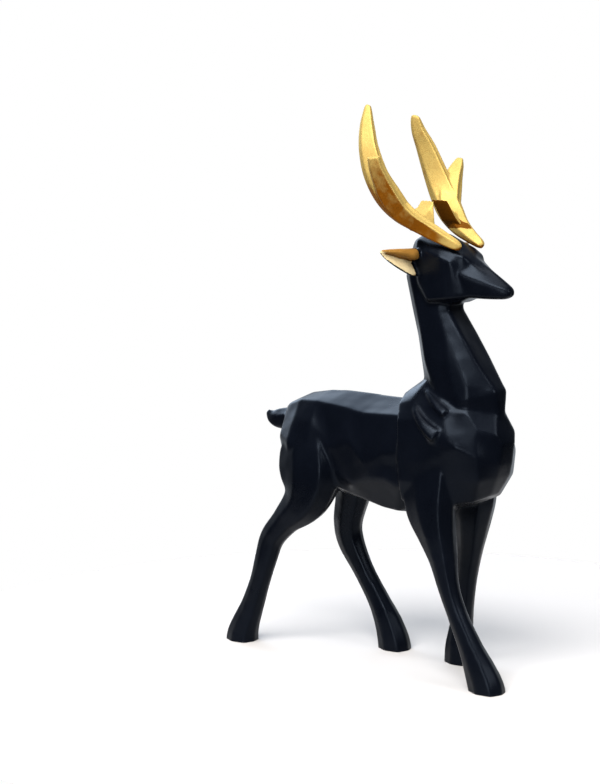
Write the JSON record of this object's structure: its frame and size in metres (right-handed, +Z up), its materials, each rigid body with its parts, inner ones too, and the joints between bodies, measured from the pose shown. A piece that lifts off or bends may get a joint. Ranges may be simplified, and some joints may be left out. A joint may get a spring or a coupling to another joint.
{
  "type": "deer figurine",
  "caption": "Standing stag figurine in faceted black resin with upswept gold antlers, head up, walking on flat-soled hooves.",
  "frame": {"origin": "centre of the figurine's footprint, on the surface that the soles stand on", "axes": "+X the way the stag faces, +Y its left side, +Z up"},
  "size_m": [0.1622, 0.069, 0.2603],
  "materials": {
    "black_resin": "satin black cast resin",
    "gold_paint": "gold foil paint over resin"
  },
  "bodies": {
    "root": {"stag_casting": "black_resin", "antler_right": "gold_paint", "antler_left": "gold_paint"}
  },
  "joints": []
}
